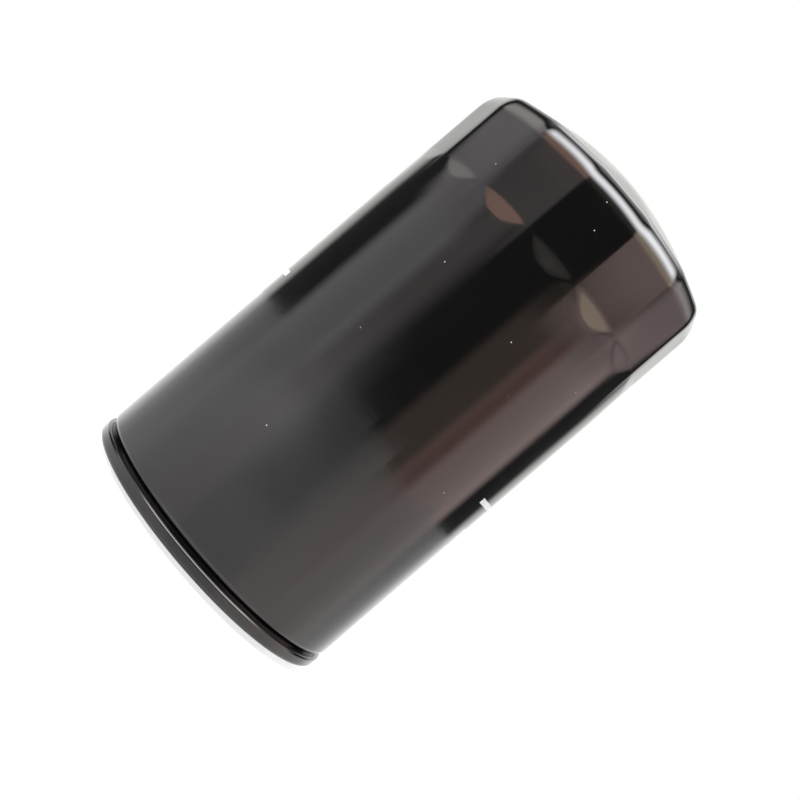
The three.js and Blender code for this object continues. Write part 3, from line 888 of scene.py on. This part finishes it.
class Nodes:
    """A short way to write a node graph: every call adds one node and returns its output."""

    def __init__(self, tree):
        self.tree = tree

    def new(self, kind, output=0, settings=(), **inputs):
        node = self.tree.nodes.new(kind)
        for name, value in dict(settings).items():
            setattr(node, name, value)
        for name, value in inputs.items():
            key = int(name[1:]) if name[0] == "_" else name.replace("_", " ")
            self.feed(node.inputs[key], value)
        return node.outputs[output]

    def feed(self, socket, value):
        if isinstance(value, bpy.types.NodeSocket):
            self.tree.links.new(value, socket)
        else:
            socket.default_value = value

    def math(self, operation, a, b=0.0, clamp=False):
        settings = {"operation": operation, "use_clamp": clamp}
        return self.new("ShaderNodeMath", settings=settings, _0=a, _1=b)

    def step(self, value, low, high, start=0.0, end=1.0):
        """Goes smoothly from start to end as value goes from low to high."""
        settings = {"interpolation_type": "SMOOTHSTEP"}
        return self.new(
            "ShaderNodeMapRange",
            settings=settings,
            Value=value,
            From_Min=low,
            From_Max=high,
            To_Min=start,
            To_Max=end,
        )

    def window(self, value, low, high, soft):
        rise = self.step(value, low - soft, low + soft)
        fall = self.step(value, high - soft, high + soft, 1.0, 0.0)
        return self.math("MULTIPLY", rise, fall)

    def noise(self, vector, scale, detail=3.0, roughness=0.5):
        return self.new(
            "ShaderNodeTexNoise", Vector=vector, Scale=scale, Detail=detail, Roughness=roughness
        )

    def stretched(self, vector, x, y, z):
        return self.new("ShaderNodeMapping", Vector=vector, Scale=(x, y, z))

    def mix(self, factor, a, b):
        """Mixes two colours."""
        node = self.tree.nodes.new("ShaderNodeMix")
        node.data_type = "RGBA"
        self.feed(node.inputs["Factor"], factor)
        self.feed(node.inputs[6], a)
        self.feed(node.inputs[7], b)
        return node.outputs[2]

    def bump(self, height, distance, strength=1.0, normal=None):
        inputs = {"Height": height, "Distance": distance, "Strength": strength}
        if normal is not None:
            inputs["Normal"] = normal
        return self.new("ShaderNodeBump", **inputs)


def material(name, paint):
    """A material whose Principled shader's sockets take what paint returns by name."""
    made = bpy.data.materials.new(name)
    made.use_nodes = True
    tree = made.node_tree
    shader = tree.nodes["Principled BSDF"]
    nodes = Nodes(tree)
    place = nodes.new("ShaderNodeTexCoord", output=3)
    for socket, value in paint(nodes, place).items():
        nodes.feed(shader.inputs[socket], value)
    return made


def grey(value, tint=(1, 1, 1)):
    return (value * tint[0], value * tint[1], value * tint[2], 1)


def turn_angle(nodes, place):
    """The angle round the axis from -Y towards +X, in radians."""
    parts = nodes.tree.nodes.new("ShaderNodeSeparateXYZ")
    nodes.feed(parts.inputs[0], place)
    away = nodes.math("MULTIPLY", parts.outputs[1], -1.0)
    return nodes.math("ARCTAN2", parts.outputs[0], away), parts.outputs[2]


PRINT_LEVEL = 73.5
PRINT_LINE = 1.9
PRINT_MIDDLE = -0.12
PRINT_GAP = 1.14


def dust_specks(nodes, place):
    """Tiny dots, where the middle of a random cell happens to lie on the surface."""
    cells = nodes.tree.nodes.new("ShaderNodeTexVoronoi")
    cells.inputs["Scale"].default_value = 130.0
    nodes.feed(cells.inputs["Vector"], place)
    draw = nodes.new("ShaderNodeSeparateColor", _0=cells.outputs["Color"])
    near = nodes.step(cells.outputs["Distance"], 0.012, 0.028, 1.0, 0.0)
    return nodes.math("MULTIPLY", nodes.math("GREATER_THAN", draw, 0.2), near)


def printed_ring(nodes, place, angle, level):
    """A thin ring round the can, slightly worn, with a gap at the front."""
    low = (PRINT_LEVEL - PRINT_LINE / 2) * MM
    high = (PRINT_LEVEL + PRINT_LINE / 2) * MM
    line = nodes.window(level, low, high, 0.00006)
    away = nodes.math("ABSOLUTE", nodes.math("SUBTRACT", angle, PRINT_MIDDLE))
    back = nodes.math("GREATER_THAN", away, PRINT_GAP)
    worn = nodes.step(nodes.noise(place, 2400.0, 2.0), 0.3, 0.36)
    return nodes.math("MULTIPLY", nodes.math("MULTIPLY", line, back), worn)


def enamel(nodes, place):
    """Baked black enamel: orange peel, faint drawing lines under it, wiping smears, dust, and a
    plain white ring printed round the back."""
    angle, level = turn_angle(nodes, place)
    peel = nodes.math("MULTIPLY", nodes.noise(place, 620.0, 2.0), 0.7)
    lines = nodes.noise(nodes.stretched(place, 900.0, 900.0, 14.0), 1.0, 2.0)
    height = nodes.math("ADD", peel, nodes.math("MULTIPLY", lines, 0.3))
    smear = nodes.noise(nodes.stretched(place, 22.0, 22.0, 60.0), 1.0, 4.0, 0.6)
    dust = dust_specks(nodes, place)
    ink = printed_ring(nodes, place, angle, level)
    black = nodes.mix(smear, grey(0.001, (1.1, 1, 1)), grey(0.0018, (1.15, 1, 0.98)))
    dusty = nodes.mix(dust, black, grey(0.5, (0.92, 0.96, 1)))
    rough = nodes.step(smear, 0.35, 0.75, 0.07, 0.12)
    rough = nodes.math("ADD", rough, nodes.math("MULTIPLY", ink, 0.25))
    rough = nodes.math("ADD", rough, nodes.math("MULTIPLY", dust, 0.5))
    return {
        "Base Color": nodes.mix(ink, dusty, grey(0.72)),
        "Roughness": rough,
        "Normal": nodes.bump(height, 0.00006, 0.09),
        "IOR": 1.45,
    }


def rubber(base, tint):
    def paint(nodes, place):
        grain = nodes.noise(place, 2600.0, 3.0)
        cloud = nodes.noise(place, 90.0, 3.0)
        colour = nodes.mix(cloud, grey(base * 0.8, tint), grey(base * 1.35, tint))
        rough = nodes.step(cloud, 0.3, 0.7, 0.42, 0.62)
        return {
            "Base Color": colour,
            "Roughness": rough,
            "Normal": nodes.bump(grain, 0.00005, 0.35),
            "IOR": 1.52,
        }

    return paint


def steel(base, low, high, grain_scale, tint=(1, 1, 1)):
    """Rolled or plated sheet: fine grain, stains and small scratches."""

    def paint(nodes, place):
        rolled = nodes.stretched(place, grain_scale, grain_scale * 0.12, grain_scale)
        grain = nodes.noise(rolled, 1.0, 3.0)
        stain = nodes.noise(place, 70.0, 5.0, 0.62)
        scratch = nodes.noise(nodes.stretched(place, 160.0, 2600.0, 900.0), 1.0, 1.0)
        marks = nodes.step(scratch, 0.68, 0.74, 0.0, 0.4)
        colour = nodes.mix(stain, grey(base * 0.82, tint), grey(base * 1.1, tint))
        colour = nodes.mix(marks, colour, grey(min(base * 1.4, 0.9), tint))
        wear = nodes.math("ADD", grain, stain)
        return {
            "Base Color": colour,
            "Roughness": nodes.step(wear, 0.6, 1.4, low, high),
            "Metallic": 1.0,
            "Normal": nodes.bump(grain, 0.00004, 0.3),
        }

    return paint


def wire(nodes, place):
    """Oil-tempered spring wire, drawn and darkly oxidised."""
    scale = nodes.noise(place, 340.0, 4.0, 0.6)
    fine = nodes.noise(place, 3000.0, 2.0)
    colour = nodes.mix(scale, grey(0.11, (1, 0.97, 0.95)), grey(0.3, (0.97, 1, 1.05)))
    return {
        "Base Color": colour,
        "Roughness": nodes.step(scale, 0.3, 0.7, 0.28, 0.45),
        "Metallic": 1.0,
        "Normal": nodes.bump(fine, 0.00003, 0.3),
    }


def paper(nodes, place):
    """Resin-cured filter paper: fibre, mottling and fine embossed rows."""
    _, level = turn_angle(nodes, place)
    fibre = nodes.noise(nodes.stretched(place, 900.0, 900.0, 2600.0), 1.0, 4.0, 0.65)
    mottle = nodes.noise(place, 160.0, 4.0)
    emboss = nodes.math("SINE", nodes.math("MULTIPLY", level, 2600.0))
    colour = nodes.mix(mottle, grey(0.5, (1, 0.66, 0.28)), grey(0.66, (1, 0.7, 0.34)))
    colour = nodes.mix(nodes.step(fibre, 0.55, 0.75, 0.0, 0.5), colour, grey(0.7, (1, 0.82, 0.55)))
    height = nodes.math("ADD", fibre, nodes.math("MULTIPLY", emboss, 0.2))
    return {"Base Color": colour, "Roughness": 0.88, "Normal": nodes.bump(height, 0.00012, 0.5)}


def resin(nodes, place):
    """Set plastisol: matt, cream, with small bubbles."""
    bubbles = nodes.new("ShaderNodeTexVoronoi", Vector=place, Scale=700.0)
    cloud = nodes.noise(place, 120.0, 3.0)
    colour = nodes.mix(cloud, grey(0.42, (1, 0.86, 0.56)), grey(0.55, (1, 0.88, 0.6)))
    pits = nodes.step(bubbles, 0.1, 0.25)
    return {
        "Base Color": colour,
        "Roughness": nodes.step(cloud, 0.3, 0.7, 0.38, 0.55),
        "Normal": nodes.bump(pits, 0.0001, 0.3),
    }


MATERIALS = {
    "enamel": material("black_enamel", enamel),
    "gasket_rubber": material("gasket_rubber", rubber(0.014, (1, 1, 1.03))),
    "seal_rubber": material("seal_rubber", rubber(0.018, (1, 1, 1))),
    "valve_rubber": material("silicone_rubber", rubber(0.3, (1, 0.2, 0.08))),
    "plate_steel": material("zinc_plated_steel", steel(0.6, 0.24, 0.42, 1500.0, (1, 0.985, 0.94))),
    "cap_steel": material("tinned_steel", steel(0.56, 0.2, 0.36, 1900.0)),
    "spring_steel": material("spring_steel", wire),
    "paper": material("filter_paper", paper),
    "resin": material("plastisol", resin),
}

# ------------------------------------------------------------------ pieces


def stand_for(node, build, *sizes):
    """Builds a piece to stand for a CAD node: it rides on the node's body and takes its
    finish. Where build is given sizes, it is given the piece's name first."""
    piece = build(f"{node}_visual", *sizes) if sizes else build()
    slot = SLOT_OF[node]
    piece.data.materials.clear()
    piece.data.materials.append(MATERIALS[slot])
    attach(piece, BODY_OF[node])
    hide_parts(node)
    return piece


def add_pieces():
    stand_for("outer_can", outer_can)
    stand_for("seam_cover", seam_cover)
    stand_for("gasket", gasket)
    stand_for("tapping_plate", tapping_plate)
    stand_for("anti_drain_valve", anti_drain_valve)
    wave = stand_for("anti_drain_spring", anti_drain_spring)
    stand_for("neck_seal", neck_seal)
    stand_for("lower_end_cap", end_cap, LOWER_CAP_LOW, LOWER_CAP_TOP, CAP_HOLE)
    stand_for("upper_end_cap", end_cap, UPPER_CAP_TOP, UPPER_CAP_LOW, UPPER_CAP_HOLE)
    stand_for("lower_adhesive", adhesive, LOWER_BED_LOW, LOWER_BED_TOP, "top")
    stand_for("upper_adhesive", adhesive, UPPER_BED_LOW, UPPER_BED_TOP, "bottom")
    stand_for("pleated_media", pleated_media)
    stand_for("media_seam_clip", media_seam_clip)
    stand_for("centre_tube", centre_tube)
    stand_for("bypass_seat", bypass_seat)
    stand_for("bypass_cage", bypass_cage)
    reach = BYPASS_SPRING_RADIUS - BYPASS_WIRE / 2
    heights = (BYPASS_SPRING_LOW, BYPASS_SPRING_TOP)
    spring = stand_for(
        "bypass_spring", coil, reach, reach, *heights, BYPASS_WIRE, BYPASS_TURNS, 14
    )
    stem = STEM_RADIUS + TOUCH
    stand_for("bypass_disc", washer, stem, DISC_RADIUS, DISC_LOW, DISC_TOP, 0.15)
    stand_for("bypass_seal", washer, stem, WASHER_RADIUS, WASHER_LOW, WASHER_TOP, 0.3)
    stand_for("bypass_rivet", bypass_rivet)
    heights = (SUPPORT_LOW, SUPPORT_TOP)
    support = stand_for(
        "support_spring", coil, SUPPORT_BASE, SUPPORT_TIP, *heights, SUPPORT_WIRE, SUPPORT_TURNS, 18
    )
    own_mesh(wave)
    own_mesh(spring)
    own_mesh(support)


# ------------------------------------------------------------------ camera, light and floor

CAMERA_DISTANCE = 7.343 * BODY_RADIUS
CAMERA_LEVEL = SEAM_LOW + 1.509 * BODY_RADIUS
CAMERA_AZIMUTH = math.radians(-2.1)
AXIS_TILT = math.radians(40.62)
SENSOR_WIDTH = 36
LENS = 51.32
SHIFT_X = 0.0166
SHIFT_Y = -0.0114


def add_camera():
    """The camera looks level at the standing filter, and is rolled so that the filter's axis
    climbs to the right."""
    data = bpy.data.cameras.new("camera")
    data.sensor_width = SENSOR_WIDTH
    data.lens = LENS
    data.shift_x = SHIFT_X
    data.shift_y = SHIFT_Y
    data.clip_start = 0.01
    camera = bpy.data.objects.new("camera", data)
    bpy.context.scene.collection.objects.link(camera)
    right = Vector((math.sin(AXIS_TILT), 0, math.cos(AXIS_TILT)))
    up = Vector((-math.cos(AXIS_TILT), 0, math.sin(AXIS_TILT)))
    back = Vector((0, -1, 0))
    turn = Matrix.Rotation(CAMERA_AZIMUTH, 3, "Z")
    axes = turn @ Matrix((right, up, back)).transposed()
    place = turn @ (back * CAMERA_DISTANCE * MM)
    place.z = CAMERA_LEVEL * MM
    camera.matrix_world = Matrix.Translation(place) @ axes.to_4x4()
    bpy.context.scene.camera = camera


# How far the white table reaches, in millimetres, from each azimuth on. Its near edge is
# stepped, and the paint shows that edge as the border between the bright and the dark half.
TABLE_REACH = [
    (-180, 2500),
    (9, 1900),
    (36, 1350),
    (86, 1900),
    (95, 1400),
    (141, 2500),
    (180, 2500),
]
TABLE_THICKNESS = 20
TABLE_GLOW = 0.78
# How much the painted shade lowers the table's glow in front of the filter.
TABLE_PAINTED_SHADE = 0.4


def add_floor():
    """A white table top. It glows a little, as a lit table does, to keep shadows soft, and
    a painted shade lowers that glow in front of the filter, where someone standing there would
    shade it."""
    outline = []
    for (start, reach), (end, _) in zip(TABLE_REACH, TABLE_REACH[1:]):
        steps = max(2, round((end - start) / 4))
        for k in range(steps + 1):
            angle = math.radians(start + (end - start) * (0.001 + 0.998 * k / steps))
            outline.append((reach * math.sin(angle), -reach * math.cos(angle)))
    floor = prism("floor", outline, -TABLE_THICKNESS, 0)
    made = bpy.data.materials.new("white_table")
    made.use_nodes = True
    shader = made.node_tree.nodes["Principled BSDF"]
    nodes = Nodes(made.node_tree)
    place = nodes.new("ShaderNodeTexCoord", output=3)
    grain = nodes.noise(place, 300.0)
    angle, _ = turn_angle(nodes, place)
    far = nodes.new("ShaderNodeVectorMath", output=1, settings={"operation": "LENGTH"}, _0=place)
    # Painted shade: in front of the filter the glow is lowered, from 0.18 m out and fully beyond
    # 0.32 m, as if someone stood there.
    front = nodes.window(angle, -0.34, 0.3, 0.24)
    painted_shade = nodes.math("MULTIPLY", front, nodes.step(far, 0.18, 0.32, 0.0, TABLE_PAINTED_SHADE))
    glow = nodes.math("SUBTRACT", TABLE_GLOW, painted_shade)
    nodes.feed(shader.inputs["Base Color"], nodes.mix(grain, grey(0.4), grey(0.44)))
    shader.inputs["Roughness"].default_value = 0.26
    shader.inputs["Specular IOR Level"].default_value = 0.9
    shader.inputs["Emission Color"].default_value = grey(1)
    nodes.feed(shader.inputs["Emission Strength"], glow)
    floor.data.materials.append(made)


# What the paint and the metal reflect: soft cards in a dim room. Each has the azimuth that it
# faces from (0 is the front, -Y), its reach to both sides of that in degrees, towards +X last,
# the elevations where it begins and ends, its soft edges in both, and its colour.
FRONT, BACK = 0, 180
CARDS = {
    "left_wall": (FRONT, (-56, -30), (-20, 17), (10, 3), (0.78, 0.73, 0.71)),
    "left_low_wall": (FRONT, (-58, -14), (-20, 1), (8, 3), (0.4, 0.4, 0.4)),
    "left_window": (FRONT, (-99, -54), (-20, 10), (7, 2), (1.45, 1.4, 1.43)),
    "left_upper_window": (FRONT, (-108, -58), (10, 18), (7, 2), (1.3, 1.22, 1.27)),
    "left_lamp": (FRONT, (-62, -26), (17, 30), (9, 3), (2.9, 1.8, 1.45)),
    "left_high_window": (FRONT, (-114, -66), (18, 34), (9, 3), (2.6, 2.4, 2.35)),
    "front_high_wall": (FRONT, (-24, 24), (18, 30), (8, 4), (0.32, 0.3, 0.26)),
    "right_wall": (FRONT, (17, 50), (-20, 11.5), (5, 2.5), (0.58, 0.42, 0.34)),
    "right_curtain": (FRONT, (47, 66), (-20, 10.5), (5, 2.5), (1.2, 0.68, 0.62)),
    "right_bright_wall": (FRONT, (30, 66), (11.5, 18.5), (5, 2.5), (2.1, 1.55, 1.42)),
    "right_lamp": (FRONT, (26, 74), (18.5, 30), (8, 3), (3.8, 3.0, 2.3)),
    "right_window": (FRONT, (64, 107), (-20, 11), (6, 2.5), (2.2, 1.7, 1.64)),
    "right_upper_window": (FRONT, (66, 113), (11, 19.5), (6, 2.5), (1.15, 0.88, 0.86)),
    "right_high_window": (FRONT, (70, 116), (20, 34), (8, 4), (2.2, 2.0, 1.9)),
    "overhead_box": (FRONT, (-64, 72), (32, 48), (13, 7), (18, 18, 18.6)),
    "ceiling_front": (FRONT, (-200, 200), (60, 86), (10, 5), (2.7, 2.7, 2.7)),
    "ceiling_top": (FRONT, (-200, 200), (86, 95), (10, 6), (4, 4, 4)),
    "ceiling_back": (BACK, (-100, 100), (50, 95), (20, 14), (3, 3, 3)),
    "backdrop": (BACK, (-43, 43), (-20, 50), (6, 12), (1.0, 1.0, 0.97)),
}
ROOM_GLOW = 0.085
ROOM_STRENGTH = 1.18
SOFT_LIGHT = 0.35


def add_world():
    """A white surround for the eye, soft light for matt surfaces, and the room for shiny ones."""
    world = bpy.data.worlds.new("studio")
    bpy.context.scene.world = world
    world.use_nodes = True
    tree = world.node_tree
    tree.nodes.clear()
    nodes = Nodes(tree)
    direction = nodes.new("ShaderNodeTexCoord", output=0)
    angle, rise = turn_angle(nodes, direction)
    behind, _ = turn_angle(nodes, nodes.stretched(direction, -1, -1, 1))
    azimuth = {FRONT: nodes.math("DEGREES", angle), BACK: nodes.math("DEGREES", behind)}
    elevation = nodes.math("DEGREES", nodes.math("ARCSINE", rise))
    room = (ROOM_GLOW, ROOM_GLOW, ROOM_GLOW)
    scale = {"operation": "SCALE"}
    add = {"operation": "ADD"}
    for facing, sides, heights, soft, colour in CARDS.values():
        across = nodes.window(azimuth[facing], *sides, soft[0])
        lit = nodes.math("MULTIPLY", across, nodes.window(elevation, *heights, soft[1]))
        card = nodes.new("ShaderNodeVectorMath", settings=scale, _0=colour, Scale=lit)
        room = nodes.new("ShaderNodeVectorMath", settings=add, _0=room, _1=card)
    seen = nodes.new("ShaderNodeBackground", Color=grey(1), Strength=1.0)
    matt = nodes.new("ShaderNodeBackground", Color=grey(1), Strength=SOFT_LIGHT)
    shiny = nodes.new("ShaderNodeBackground", Color=room, Strength=ROOM_STRENGTH)
    path = tree.nodes.new("ShaderNodeLightPath")
    hidden = nodes.new("ShaderNodeMixShader", _0=path.outputs["Is Glossy Ray"], _1=matt, _2=shiny)
    both = nodes.new("ShaderNodeMixShader", _0=path.outputs["Is Camera Ray"], _1=hidden, _2=seen)
    output = tree.nodes.new("ShaderNodeOutputWorld")
    tree.links.new(both, output.inputs["Surface"])


# Wide soft lights: where each stands and what it is aimed at, in metres, its size, how far it
# spreads in degrees, and its power.
LIGHTS = {
    "soft_box": ((0, -0.42, 1.05), (0, 0, 0.1), (1.3, 0.62), 180, 4),
    "window_light": ((-0.75, -1.0, 0.75), (-0.3, -0.42, 0), (0.5, 0.5), 55, 6),
}


def add_lights():
    for name, (place, aim, size, spread, power) in LIGHTS.items():
        data = bpy.data.lights.new(name, "AREA")
        data.shape = "RECTANGLE"
        data.size, data.size_y = size
        data.spread = math.radians(spread)
        data.energy = power
        light = bpy.data.objects.new(name, data)
        bpy.context.scene.collection.objects.link(light)
        light.location = place
        towards = Vector(aim) - Vector(place)
        light.rotation_euler = towards.to_track_quat("-Z", "Y").to_euler()
        light.visible_glossy = False


add_camera()
add_pieces()
add_floor()
add_world()
add_lights()
bpy.context.scene.view_settings.view_transform = "Standard"
